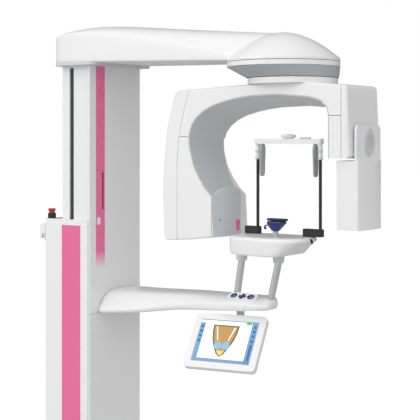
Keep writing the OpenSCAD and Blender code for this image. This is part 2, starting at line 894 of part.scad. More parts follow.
base_plate();
foot_brackets();
stationary_column();
side_stripes();
column_cap();
wall_bracket();
hand_switch_hook();
estop_base();
estop_button();
lift_motor();
lift_screw();
screw_bearings();
guide_rails();
mains_inlet();
telescopic_column();
front_cover_upper();
front_cover_lower();
front_stripe();
lift_nut();
guide_blocks();
top_collar();
shoulder_frame();
shoulder_cover();
dome_cover();
turret_ring();
turret_cone();
rotation_motor();
drive_roller();
arm_neck();
arm_frame();
beam_cover();
tube_head_cover();
tube_rear_cover();
arm_liner();
tube_housing();
collimator_nose();
sensor_arm_cover();
sensor_end_cover();
sensor_mount();
sensor_head();
sensor_knob();
lower_arm_frame();
lower_arm_cover();
arm_end_cap();
keypad_panel();
key_left();
key_centre();
key_right();
handle_posts();
post_sockets();
patient_table();
temple_rods();
temple_bar();
temple_knob();
temple_pad_left();
temple_pad_right();
chin_post();
chin_rest();
screen_pivot();
screen_housing();
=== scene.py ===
"""Looks of the panoramic dental X-ray machine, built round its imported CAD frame."""

import json
import math

import bmesh
import bpy
from mathutils import Matrix, Vector

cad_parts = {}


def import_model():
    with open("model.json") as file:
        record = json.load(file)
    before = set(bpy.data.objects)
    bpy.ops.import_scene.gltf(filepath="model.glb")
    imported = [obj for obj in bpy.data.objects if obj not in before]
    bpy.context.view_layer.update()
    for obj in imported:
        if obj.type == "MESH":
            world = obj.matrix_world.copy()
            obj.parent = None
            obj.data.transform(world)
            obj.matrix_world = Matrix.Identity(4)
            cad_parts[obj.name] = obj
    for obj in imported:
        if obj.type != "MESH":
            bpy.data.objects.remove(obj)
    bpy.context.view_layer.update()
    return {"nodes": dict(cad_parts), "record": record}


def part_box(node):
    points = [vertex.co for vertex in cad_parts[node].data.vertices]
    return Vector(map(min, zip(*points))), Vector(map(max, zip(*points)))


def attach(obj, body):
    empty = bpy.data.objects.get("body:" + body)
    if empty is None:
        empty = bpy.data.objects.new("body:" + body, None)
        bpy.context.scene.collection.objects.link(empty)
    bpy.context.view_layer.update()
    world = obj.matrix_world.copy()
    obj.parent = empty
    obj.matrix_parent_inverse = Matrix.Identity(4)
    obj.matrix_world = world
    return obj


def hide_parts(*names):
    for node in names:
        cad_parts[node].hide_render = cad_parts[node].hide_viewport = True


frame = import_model()
MM = 0.001

# Places that several pieces share, in millimetres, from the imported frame.
COVER_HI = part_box("front_cover_upper")[1] * 1000
NECK_LO, NECK_HI = [v * 1000 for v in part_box("arm_neck")]
TABLE_LO, TABLE_HI = [v * 1000 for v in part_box("patient_table")]
ARM_X = (NECK_LO.x + NECK_HI.x) / 2
TABLE_TOP = TABLE_HI.z
ROD_X = 117                 # temple rods, either side of the arm's axis
SLOT = (2.4, 21.6)          # the dark slot down each side of the moving column
KEY_CENTRE = (700, -64, 1093)
KEY_TILT = 28
KEY_PITCH = 33


# ---------- materials ----------

class Nodes:
    """Short names for building one node material."""

    def __init__(self, name):
        self.material = bpy.data.materials.new(name)
        self.material.use_nodes = True
        self.tree = self.material.node_tree
        self.shader = self.tree.nodes["Principled BSDF"]
        self.place = self.add("ShaderNodeTexCoord").outputs["Object"]

    def add(self, kind, **values):
        node = self.tree.nodes.new(kind)
        for key, value in values.items():
            if hasattr(node, key):
                setattr(node, key, value)
            else:
                node.inputs[key.replace("_", " ")].default_value = value
        return node

    def link(self, source, target):
        self.tree.links.new(source, target)

    def noise(self, size, detail=3.0, vector=None):
        node = self.add("ShaderNodeTexNoise", Scale=1 / size, Detail=detail)
        self.link(vector or self.place, node.inputs["Vector"])
        return node.outputs["Fac"]

    def spread(self, source, low, high, start=0.35, end=0.65):
        node = self.add("ShaderNodeMapRange")
        self.link(source, node.inputs["Value"])
        for name, value in (("From Min", start), ("From Max", end), ("To Min", low), ("To Max", high)):
            node.inputs[name].default_value = value
        return node.outputs["Result"]

    def mix(self, factor, first, second):
        node = self.add("ShaderNodeMix", data_type="RGBA")
        for socket, value in ((node.inputs[0], factor), (node.inputs[6], first), (node.inputs[7], second)):
            if hasattr(value, "is_output"):
                self.link(value, socket)
            else:
                socket.default_value = value
        return node.outputs[2]

    def bump(self, source, strength, distance):
        node = self.add("ShaderNodeBump", Strength=strength, Distance=distance)
        self.link(source, node.inputs["Height"])
        self.link(node.outputs["Normal"], self.shader.inputs["Normal"])


def rgba(color, gain=1.0):
    return (*[min(1.0, c * gain) for c in color], 1.0)


def plastic(name, color, rough=0.35, grain=0.9, depth=0.05, coat=0.0, tint=0.012):
    """Moulded plastic or lacquer: faint cloudiness, uneven gloss, and a grain of the given size in mm."""
    n = Nodes(name)
    cloud = n.spread(n.noise(0.25), 0.0, 1.0)
    n.link(n.mix(cloud, rgba(color, 1 - tint), rgba(color)), n.shader.inputs["Base Color"])
    n.link(n.spread(n.noise(0.02), rough - 0.02, rough + 0.02), n.shader.inputs["Roughness"])
    n.shader.inputs["Coat Weight"].default_value = coat
    n.shader.inputs["Coat Roughness"].default_value = 0.12
    n.bump(n.noise(grain * MM, 2.0), 0.12, depth * MM)
    return n.material


def metal(name, color, rough=0.32, stretch=(1, 1, 60), grain=12.0, depth=0.02):
    """Machined or drawn metal, with fine lines drawn out along one way."""
    n = Nodes(name)
    mapping = n.add("ShaderNodeMapping")
    mapping.inputs["Scale"].default_value = [60 / s for s in stretch]
    n.link(n.place, mapping.inputs["Vector"])
    lines = n.noise(grain * MM, 4.0, mapping.outputs["Vector"])
    n.link(n.mix(n.spread(lines, 0.0, 1.0), rgba(color, 0.86), rgba(color)), n.shader.inputs["Base Color"])
    n.link(n.spread(lines, rough - 0.06, rough + 0.08), n.shader.inputs["Roughness"])
    n.shader.inputs["Metallic"].default_value = 1.0
    n.bump(lines, 0.15, depth * MM)
    return n.material


def faded(name, color, base, axis, start, end, rough=0.3):
    """A colour that fades into the base colour between two places along an axis, in mm: the pink stripe, and
    the pink laser light painted on the beam window.
    """
    n = Nodes(name)
    split = n.add("ShaderNodeSeparateXYZ")
    n.link(n.place, split.inputs["Vector"])
    along = n.spread(split.outputs[axis], 0.0, 1.0, start * MM, end * MM)
    cloud = n.spread(n.noise(0.05), 0.95, 1.0)
    tinted = n.mix(cloud, rgba(color, 0.9), rgba(color))
    n.link(n.mix(along, rgba(base), tinted), n.shader.inputs["Base Color"])
    n.link(n.spread(n.noise(0.02), rough - 0.04, rough + 0.05), n.shader.inputs["Roughness"])
    n.bump(n.noise(0.8 * MM, 2.0), 0.1, 0.03 * MM)
    return n.material


def glowing(name, color, strength):
    """A lit area of the display, with the faint grid of its dots."""
    n = Nodes(name)
    dots = n.spread(n.noise(0.6 * MM, 1.0), 0.94, 1.0)
    tone = n.mix(dots, rgba(color, 0.9), rgba(color))
    n.link(tone, n.shader.inputs["Base Color"])
    n.link(tone, n.shader.inputs["Emission Color"])
    n.shader.inputs["Emission Strength"].default_value = strength
    n.shader.inputs["Roughness"].default_value = 0.25
    return n.material


WHITE = (0.90, 0.90, 0.905)
# GREY is a light grey; on the C-arm's inner liner it is painted shade, that liner being as white as the
# covers.
GREY = (0.66, 0.685, 0.70)
PINK = (0.87, 0.155, 0.34)
MATERIALS = {
    "shell": plastic("shell_white", WHITE, 0.30, coat=0.15),
    "column_paint": plastic("column_white", (0.88, 0.885, 0.89), 0.38, grain=0.5, depth=0.08),
    # grey_shell also colours the C-arm's inner liner, where its grey is painted shade.
    "grey_shell": plastic("grey_and_liner_shade", GREY, 0.42, grain=0.6, depth=0.08),
    "pink": plastic("accent_pink", PINK, 0.25, coat=0.3),
    "blue": plastic("deep_blue", (0.012, 0.025, 0.17), 0.3, coat=0.2),
    "black": plastic("black_satin", (0.012, 0.012, 0.014), 0.42, grain=0.5, depth=0.1),
    "red": plastic("stop_red", (0.55, 0.01, 0.012), 0.25, coat=0.4),
    "steel_plate": plastic("base_coat", (0.70, 0.71, 0.72), 0.5, grain=0.7, depth=0.12),
    "steel": metal("drawn_steel", (0.56, 0.57, 0.59), 0.28),
    "aluminium": metal("brushed_aluminium", (0.74, 0.75, 0.76), 0.34),
    "cast": plastic("cast_paint", (0.10, 0.105, 0.11), 0.55, grain=1.6, depth=0.3),
    "bronze": metal("nut_bronze", (0.60, 0.38, 0.14), 0.36, (1, 1, 1)),
    "rubber": plastic("roller_rubber", (0.02, 0.02, 0.02), 0.75, grain=0.4, depth=0.15),
    "pad": plastic("soft_grey", (0.42, 0.46, 0.48), 0.5, grain=0.5, depth=0.12),
    "motor_case": plastic("motor_black", (0.03, 0.032, 0.035), 0.5, grain=0.8, depth=0.15),
}


# ---------- mesh helpers; every size in millimetres ----------

def arc(cx, cy, r, a0, a1, n=8):
    return [(cx + r * math.cos(math.radians(a0 + (a1 - a0) * i / n)),
             cy + r * math.sin(math.radians(a0 + (a1 - a0) * i / n))) for i in range(n + 1)]


def ellipse(cx, cy, a, b, n):
    turns = [2 * math.pi * i / n for i in range(n)]
    return [(cx + a * math.cos(turn), cy + b * math.sin(turn)) for turn in turns]


def round_rect(x0, x1, y0, y1, r, n=8):
    return (arc(x1 - r, y1 - r, r, 0, 90, n) + arc(x0 + r, y1 - r, r, 90, 180, n)
            + arc(x0 + r, y0 + r, r, 180, 270, n) + arc(x1 - r, y0 + r, r, 270, 360, n))


def build(name, points, faces, smooth=True):
    """A mesh object from points in millimetres."""
    mesh = bpy.data.meshes.new(name)
    mesh.from_pydata([[c * MM for c in p] for p in points], [], faces)
    bm = bmesh.new()
    bm.from_mesh(mesh)
    bmesh.ops.remove_doubles(bm, verts=bm.verts, dist=1e-6)
    bmesh.ops.recalc_face_normals(bm, faces=bm.faces)
    for face in bm.faces:
        face.smooth = smooth
    bm.to_mesh(mesh)
    bm.free()
    obj = bpy.data.objects.new(name, mesh)
    bpy.context.scene.collection.objects.link(obj)
    return obj


def loft(name, rings, caps=True):
    """A closed skin over rings that all have the same number of points."""
    n = len(rings[0])
    points = [p for ring in rings for p in ring]
    faces = [(k * n + i, k * n + (i + 1) % n, (k + 1) * n + (i + 1) % n, (k + 1) * n + i)
             for k in range(len(rings) - 1) for i in range(n)]
    if caps:
        faces += [tuple(range(n))[::-1], tuple((len(rings) - 1) * n + i for i in range(n))]
    return build(name, points, faces)


AXES = {"X": lambda u, v, w: (w, u, v), "Y": lambda u, v, w: (u, w, v), "Z": lambda u, v, w: (u, v, w)}


def prism(name, outline, axis, low, high):
    """An outline drawn along X (given in Y, Z), Y (in X, Z) or Z (in X, Y)."""
    place = AXES[axis]
    return loft(name, [[place(u, v, w) for u, v in outline] for w in (low, high)])


def revolve(name, profile, centre, n=48):
    """A profile of (radius, height) turned about an upright axis through centre."""
    cx, cy = centre
    rings = [[(cx + max(r, 0.01) * math.cos(2 * math.pi * i / n),
               cy + max(r, 0.01) * math.sin(2 * math.pi * i / n), z)
              for i in range(n)] for r, z in profile]
    return loft(name, rings)


def apply_modifiers(obj):
    depsgraph = bpy.context.evaluated_depsgraph_get()
    mesh = bpy.data.meshes.new_from_object(obj.evaluated_get(depsgraph))
    obj.modifiers.clear()
    obj.data = mesh


def rounded(obj, width, segments=3, angle=35):
    """Rounds the sharp edges and keeps the flats flat."""
    weld = obj.modifiers.new("weld", "WELD")
    weld.merge_threshold = 1e-5
    bevel = obj.modifiers.new("round", "BEVEL")
    bevel.width = width * MM
    bevel.segments = segments
    bevel.limit_method = "ANGLE"
    bevel.angle_limit = math.radians(angle)
    bevel.miter_outer = "MITER_ARC"
    obj.modifiers.new("normals", "WEIGHTED_NORMAL").keep_sharp = True
    return obj


def subdivided(obj, levels=2):
    modifier = obj.modifiers.new("smooth", "SUBSURF")
    modifier.levels = levels
    modifier.render_levels = levels
    return obj


def cut(obj, tool, operation):
    modifier = obj.modifiers.new("cut", "BOOLEAN")
    modifier.operation = operation
    modifier.solver = "EXACT"
    modifier.object = tool
    apply_modifiers(obj)
    bpy.data.objects.remove(tool)
    return obj


def piece(obj, body, slot, material=None, replaces=()):
    """Gives a new piece its material, from its slot unless one is given, and its body."""
    obj.data.materials.clear()
    obj.data.materials.append(material or MATERIALS[slot])
    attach(obj, body)
    if replaces:
        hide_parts(*replaces)
    return obj


# ---------- CAD nodes that keep their own shape ----------

ROUNDING = {
    "base_plate": 3, "foot_brackets": 1.5, "stationary_column": 2.0, "side_stripes": 0.4, "column_cap": 4,
    "wall_bracket": 1.2, "hand_switch_hook": 1.2, "estop_base": 1.5, "lift_motor": 3, "screw_bearings": 1.5,
    "guide_rails": 1, "mains_inlet": 0.8, "telescopic_column": 2.0, "front_cover_upper": 1.2,
    "front_cover_lower": 1.2, "front_stripe": 0.3, "lift_nut": 1.5, "guide_blocks": 1.5, "top_collar": 2,
    "turret_ring": 3, "turret_cone": 0.8, "arm_neck": 1.5, "arm_liner": 1.2, "collimator_nose": 4,
    "sensor_mount": 1.5, "sensor_head": 6, "sensor_knob": 1.4, "post_sockets": 2.5, "temple_rods": 1.5,
    "temple_bar": 2.5, "temple_knob": 1.5, "screen_pivot": 1.5, "screen_housing": 5, "chin_post": 0.8,
    "estop_button": 1.2, "lift_screw": 0.5, "handle_posts": 0.5, "keypad_panel": 1.5,
}
SLOTS = {row["node"]: row["material_slot"] for row in frame["record"]["subparts"]}


def dress_cad_nodes():
    # The turret cone's dark grey is painted shade, the shade on the underside below the dome's rim.
    special = {"front_stripe": faded("stripe_pink", (0.95, 0.19, 0.40), WHITE, "Z", 1148, 1210),
               "turret_cone": plastic("cone_painted_shade", (0.42, 0.44, 0.455), 0.45, grain=0.6, depth=0.08)}
    for name, obj in frame["nodes"].items():
        obj.data.materials.clear()
        obj.data.materials.append(special.get(name) or MATERIALS[SLOTS[name]])
        for polygon in obj.data.polygons:
            polygon.use_smooth = True
        rounded(obj, ROUNDING.get(name, 1.0), 3 if ROUNDING.get(name, 1) >= 2 else 2)


# ---------- shoulder ----------

def shoulder():
    """One long soft shell with a crease below its top, sinking into the dome."""
    slices = [  # x, half width, height of the crease, height of the ridge
        (-74, 96, 1950, 1964), (-70, 112, 1955, 1968), (-64, 128, 1958, 1972), (-36, 154, 1964, 1981),
        (6, 165, 1970, 1993), (106, 165, 1971, 2007), (300, 147, 1957, 1990), (436, 134.5, 1930, 1977),
        (633, 116.5, 1889, 1960), (690, 111, 1868, 1955), (812, 100, 1860, 1945)]
    rings = []
    for x, w, crease, ridge in slices:
        low = 1875 - 22 * (x + 74) / 886
        foot, rise = min(6, (crease - low) * 0.45), ridge - crease
        side = [(w * 0.4, low), (w - foot, low), (w - 0.5, low + foot * 0.5), (w, low + foot), (w, crease),
                (w * 0.985, crease + rise * 0.12), (w * 0.93, crease + rise * 0.33),
                (w * 0.8, crease + rise * 0.6), (w * 0.62, crease + rise * 0.8),
                (w * 0.4, crease + rise * 0.93), (w * 0.15, ridge)]
        rings.append([(x, -y, z) for y, z in side] + [(x, y, z) for y, z in side[::-1]])
    obj = subdivided(loft("shoulder_shell", rings), 2)
    ends = (slices[0][0] * MM, slices[-1][0] * MM)
    crease_edges(obj, lambda a, b: abs(a.x - b.x) < 1e-6 and min(abs(a.x - e) for e in ends) < 1e-6)
    return piece(obj, "carriage", "shell", replaces=["shoulder_cover"])


def crease_edges(obj, test, value=1.0):
    bm = bmesh.new()
    bm.from_mesh(obj.data)
    layer = bm.edges.layers.float.get("crease_edge") or bm.edges.layers.float.new("crease_edge")
    for edge in bm.edges:
        if test(edge.verts[0].co, edge.verts[1].co):
            edge[layer] = value
    bm.to_mesh(obj.data)
    bm.free()


# ---------- C-arm ----------

ARM_HALF = 100.0
OUTLINE = (arc(239, 1757, 13, 0, 80, 5) + [(120, 1782), (0, 1788), (-99, 1780), (-243, 1773), (-337, 1769)]
           + arc(-378, 1739, 28, 98, 168, 6) + [(-435, 1641), (-447, 1535), (-455, 1428)]
           + arc(-433, 1280, 14, 185, 262, 5) + [(-340, 1273), (-246, 1284)])
OPENING = [(-246, 1418), (-271, 1442), (-299, 1480), (-323, 1525), (-337, 1579), (-339, 1615), (-328, 1650),
           (-308, 1675), (-280, 1696), (-243, 1713), (-196, 1726), (-150, 1735), (-99, 1741), (3, 1744),
           (120, 1734), (161, 1722), (182, 1702), (188, 1678), (188, 1547)]
TAPER_Z = 1418.0
TAPER = 0.905
LINER = 4.0
SENSOR_ARM_FOOT = 1547.0


def arm_ring(y, inset=0.0):
    """The C outline at a depth, drawn in by inset on its outer side."""
    t = (y + ARM_HALF) / (2 * ARM_HALF)
    k = 1 + (TAPER - 1) * t
    cx, cz = -100.0, 1560.0
    ring = []
    for x, z in OUTLINE:
        d = math.hypot(x - cx, z - cz)
        ring.append((ARM_X + x + (cx - x) / d * inset, y, z + (cz - z) / d * inset))
    for x, z in OPENING:
        zz = TAPER_Z + (z - TAPER_Z) * k if z > TAPER_Z else z
        grow = LINER - inset * 0.25
        dx, dz = -x - 80, 1500 - zz
        d = math.hypot(dx, dz)
        z_out = zz - dz / d * grow
        ring.append((ARM_X + x - dx / d * grow, y, max(SENSOR_ARM_FOOT, z_out) if x > 180 else z_out))
    ring.append((ARM_X + 252, y, SENSOR_ARM_FOOT))
    ring.append((ARM_X + 260 - inset, y, 1555))
    return ring


def arm_body():
    """The C-arm's solid, with soft round edges on its outer sides."""
    r = 9.0
    turns = [math.radians(a) for a in (90, 60, 35, 15, 0)]
    steps = [(r * (1 - math.cos(a)), r * (1 - math.sin(a))) for a in turns]
    depths = [(-ARM_HALF + along, inset) for inset, along in steps]
    depths += [(-y, inset) for y, inset in depths[::-1]]
    return loft("arm_body", [arm_ring(y, inset) for y, inset in depths])


REAR_SEAM = [(-340, 1900), (-340, 1769), (-362, 1700), (-384, 1612), (-391, 1530), (-391, 1440), (-391, 1200)]
SEAM = 1.6


def seam_region(shift):
    """Everything behind the seam that runs down the tube head."""
    line = [(ARM_X + x + shift, z) for x, z in REAR_SEAM]
    return prism("region", line + [(200, 1200), (200, 1900)], "Y", -150, 150)


def region_block(x0, x1, z0, z1):
    return prism("region", rect(ARM_X + x0, ARM_X + x1, z0, z1), "Y", -150, 150)


def c_arm_covers():
    split_head, split_sensor_x, split_sensor_z = 1612, 232, 1676
    parts = {
        "tube_rear_shell": [(seam_region(0), "INTERSECT")],
        "tube_head_shell": [(seam_region(SEAM), "DIFFERENCE"),
                            (region_block(-600, -100, 1100, split_head), "INTERSECT")],
        "beam_shell": [(seam_region(SEAM), "DIFFERENCE"),
                       (region_block(-600, -100, 1100, split_head + SEAM), "DIFFERENCE"),
                       (region_block(split_sensor_x, 400, 1400, 1900), "DIFFERENCE"),
                       (region_block(100, 400, 1400, split_sensor_z + SEAM), "DIFFERENCE")],
        "sensor_arm_shell": [(region_block(150, split_sensor_x, 1400, split_sensor_z), "INTERSECT")],
        "sensor_end_shell": [(region_block(split_sensor_x + SEAM, 400, 1400, 1900), "INTERSECT")],
    }
    stands_for = {"tube_rear_shell": "tube_rear_cover", "tube_head_shell": "tube_head_cover",
                  "beam_shell": "beam_cover", "sensor_arm_shell": "sensor_arm_cover",
                  "sensor_end_shell": "sensor_end_cover"}
    for name, cuts in parts.items():
        obj = arm_body()
        obj.name = name
        for tool, operation in cuts:
            cut(obj, tool, operation)
        rounded(obj, 0.7, 2, 50)
        piece(obj, "c_arm", "shell", replaces=[stands_for[name]])


# ---------- lower arm ----------

def lower_arm():
    """The swept arm that carries the keys and the patient table."""
    stations = [  # x, near foot, far side, underside, top, slope run, height of the near foot
        (107, -99, 112, 992, 1073, 86, 20), (160, -95, 110, 995, 1074, 80, 20),
        (258, -84, 104, 1003, 1076, 66, 22), (354, -72, 96, 1018, 1081, 52, 24),
        (448, -66, 88, 1031, 1086, 46, 28), (560, -78, 76, 1038, 1089, 48, 32),
        (640, -90, 58, 1044, 1092, 50, 34), (710, -94, 46, 1050, 1095, 52, 32),
        (758, -93, 34, 1055, 1097, 54, 26), (784, -90, 12, 1057, 1097, 48, 24),
        (801, -82, -12, 1061, 1095, 36, 16), (809, -72, -26, 1067, 1090, 24, 8)]
    rings = []
    for x, y0, y1, z0, z1, run, foot in stations:
        r = min(12, (z1 - z0) * 0.3)
        line = [(y0 + r, z0), (y0 + 2, z0 + r * 0.5), (y0, z0 + foot * 0.7), (y0 + 3, z0 + foot),
                (y0 + run * 0.5, z1 - 6), (y0 + run, z1 - 0.5), ((y0 + run + y1) / 2, z1), (y1 - r, z1),
                (y1 - 2, z1 - r * 0.6), (y1, z1 - r), (y1, z0 + r), (y1 - 3, z0 + 3), (y1 - r, z0),
                ((y0 + y1) / 2, z0)]
        rings.append([(x, y, z) for y, z in line])
    obj = subdivided(loft("lower_arm_shell", rings), 2)
    crease_edges(obj, lambda a, b: abs(a.x - b.x) < 1e-6 and a.x < 0.108)
    return piece(obj, "carriage", "shell", replaces=["lower_arm_cover", "arm_end_cap"])


# ---------- patient table ----------

def patient_table():
    """A deep dish: crowned top, round rim, and an underside cut up towards one end."""
    cx, cy = (TABLE_LO.x + TABLE_HI.x) / 2, (TABLE_LO.y + TABLE_HI.y) / 2
    half_x, half_y = (TABLE_HI.x - TABLE_LO.x) / 2, (TABLE_HI.y - TABLE_LO.y) / 2
    depth = TABLE_TOP - TABLE_LO.z
    # inset at the near end, inset at the cut-up end, height below the top
    steps = [(120, 130, depth), (18, 92, depth), (5, 74, depth - 1), (1.5, 58, depth - 8),
             (0.5, 34, depth * 0.55), (0, 12, depth * 0.32), (0, 1, 14), (0.5, 0.5, 8), (4, 4, 2.5),
             (12, 12, 0.6), (60, 60, 0), (120, 120, -0.2)]
    rings = []
    for near, far, drop in steps:
        ring = []
        for i in range(40):
            a = 2 * math.pi * i / 40
            c, s = math.cos(a), math.sin(a)
            power = 0.72
            ux = math.copysign(abs(c) ** power, c)
            uy = math.copysign(abs(s) ** power, s)
            inset = near + (far - near) * max(0.0, (ux + 0.1) / 1.1) ** 1.5
            reach_y = max(3, half_y - min(near, 90) * 0.9)
            ring.append((cx + ux * max(4, half_x - inset), cy + uy * reach_y, TABLE_TOP - drop))
        rings.append(ring)
    obj = subdivided(loft("patient_table_shell", rings), 2)
    return piece(obj, "carriage", "shell", replaces=["patient_table"])


# ---------- chin rest, temple pads ----------

def chin_rest():
    lo, hi = [v * 1000 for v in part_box("chin_rest")]
    cx, cy = ARM_X, (lo.y + hi.y) / 2
    blade = [(-13, 0, 10), (-14, 6, 12), (-24, 16, 14), (-29, 26, 16), (-30, 33, 16)]
    other = [(13, 0), (15, 6), (27, 16), (36, 26), (41, 33)]
    rings = []
    for (x0, h, w), (x1, _) in zip(blade, other):
        outline = round_rect(cx + x0, cx + x1, cy - w, cy + w, min(w, (x1 - x0) / 2) * 0.7, 3)
        rings.append([(x, y, lo.z + h) for x, y in outline])
    body = subdivided(loft("chin_cup", rings), 2)
    piece(body, "chin", "blue", replaces=["chin_rest"])
    tray = round_rect(cx - 29, cx + 42, cy - 13, cy + 13, 9)
    top = rounded(prism("chin_bite_tray", tray, "Z", lo.z + 33, hi.z), 2.2)
    piece(top, "chin", "black")
    hook = arc(cx - 27, lo.z + 12, 8, 60, 250, 10)
    inner = arc(cx - 27, lo.z + 12, 4.5, 250, 60, 10)
    piece(rounded(prism("chin_locking_lever", hook + inner, "Y", cy - 15, cy - 6), 1.0), "chin", "blue")


def temple_pads():
    stations = (  # height, lean outward, half width, half thickness
        (1598, 0, 4.5, 4), (1588, 0, 6, 4), (1582, 0, 13, 4), (1572, 0, 15.5, 3.5), (1550, 0.5, 16, 3.2),
        (1528, 1, 15, 3), (1506, 1, 14.5, 3), (1492, 1, 13, 3), (1485, 1, 9, 2.6))
    for side, name in ((-1, "left"), (1, "right")):
        lo, hi = [v * 1000 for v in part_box("temple_pad_" + name)]
        cy = (lo.y + hi.y) / 2
        x_top = ARM_X + side * 97
        rings = []
        for z, lean, half, thick in stations:
            x = x_top + side * lean
            curve = 2.5
            bow = curve * side
            outline = [(x - thick, cy - half * 0.5), (x - thick + bow, cy - half),
                       (x + thick + bow, cy - half), (x + thick, cy - half * 0.5),
                       (x + thick, cy + half * 0.5), (x + thick + bow, cy + half),
                       (x - thick + bow, cy + half), (x - thick, cy + half * 0.5)]
            rings.append([(px, py, z) for px, py in outline])
        obj = subdivided(loft("temple_blade_" + name, rings), 2)
        piece(obj, name + "_pad", "pad", replaces=["temple_pad_" + name])


def temple_support_trim():
    """Bar cap, collars on the rods and the small clamp lever at the table's end."""
    lo, hi = [v * 1000 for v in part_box("temple_bar")]
    cy = (lo.y + hi.y) / 2
    for side in (-1, 1):
        x, name = ARM_X + side * ROD_X, "left" if side < 0 else "right"
        for index, z in enumerate((1540, 1562)):
            profile = [(6.8, z), (8.4, z + 1), (8.4, z + 7), (6.8, z + 8)]
            piece(rounded(revolve(f"rod_collar_{name}_{index}", profile, (x, cy)), 0.6),
                  "carriage", "grey_shell")
    cap = prism("bar_oval_cap", ellipse(ARM_X + 62, cy, 20, 10, 32), "Z", hi.z, hi.z + 5)
    piece(rounded(cap, 1.8), "carriage", "grey_shell")
    x, z = TABLE_HI.x, TABLE_TOP
    lever = [(x - 12, z - 4), (x - 3, z - 4), (x + 2, z - 8), (x + 4, z - 17), (x + 2, z - 21), (x, z - 16),
             (x - 3, z - 9), (x - 12, z - 8)]
    piece(rounded(prism("clamp_lever", lever, "Y", -62, -52), 1.5), "carriage", "black")


def post_collars():
    """Wide tapered sockets where the hand posts meet the table."""
    lo, hi = [v * 1000 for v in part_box("post_sockets")]
    cy, r = (lo.y + hi.y) / 2, (hi.y - lo.y) / 2
    profile = [(13, lo.z), (16.5, lo.z), (17.5, lo.z + 1.5), (r - 1, hi.z - 4), (r, hi.z - 3), (r, hi.z),
               (13, hi.z)]
    for index, x in enumerate((lo.x + r, hi.x - r)):
        obj = rounded(revolve(f"post_collar_{index}", profile, (x, cy)), 0.6)
        piece(obj, "carriage", "grey_shell", replaces=["post_sockets"] if index == 0 else ())


# ---------- keys ----------

def key_shapes():
    """Raised blue symbols: an oval ring each side of a four-way key."""
    tilt = Matrix.Rotation(math.radians(KEY_TILT), 4, "X")
    centre = Vector(KEY_CENTRE)

    def stand(name, outline, holes, offset, body, node):
        obj = prism(name, [(x + offset, y) for x, y in outline], "Z", 3.4, 7.0)
        if holes:
            cut(obj, prism("hole", [(x + offset, y) for x, y in holes], "Z", 0, 10), "DIFFERENCE")
        for vertex in obj.data.vertices:
            vertex.co = (tilt @ (vertex.co / MM) + centre) * MM
        piece(rounded(obj, 0.6), body, "blue", replaces=[node])

    arm, tip = 4.2, 13.6
    cross = []
    for turn in range(4):
        c, s = math.cos(turn * math.pi / 2), math.sin(turn * math.pi / 2)
        limb = ((arm, -arm), (tip, -arm * 0.8), (tip, arm * 0.8))
        cross += [(c * x - s * y, s * x + c * y) for x, y in limb]
    left, left_hole = ellipse(0, 0, 11, 11.5, 32), ellipse(0, 0, 6.4, 6.4, 32)
    right, right_hole = ellipse(0, 0, 12.6, 11.5, 32), ellipse(0, 0, 8.2, 6.4, 32)
    stand("key_ring_left", left, left_hole, -KEY_PITCH, "left_key", "key_left")
    stand("key_cross", cross, None, 0, "centre_key", "key_centre")
    stand("key_ring_right", right, right_hole, KEY_PITCH, "right_key", "key_right")


# ---------- touch screen ----------

SCREEN_PLACE = (Matrix.Translation(Vector((655, -54, 992))) @ Matrix.Rotation(math.radians(11), 4, "Z")
                @ Matrix.Rotation(math.radians(-37), 4, "X") @ Matrix.Translation(Vector((0, -30, 30))))


def on_screen(name, outline, material, level, thickness=0.35, slot="shell"):
    """A thin coloured shape on the display; outline in mm from the display's centre."""
    obj = prism(name, [(x, z - 97.5) for x, z in outline], "Y", 1.5 - level - thickness, 1.55 - level)
    for vertex in obj.data.vertices:
        vertex.co = (SCREEN_PLACE @ (vertex.co / MM)) * MM
    piece(rounded(obj, 0.1, 1), "screen", slot, material)


def rect(x0, x1, z0, z1):
    return [(x0, z0), (x1, z0), (x1, z1), (x0, z1)]


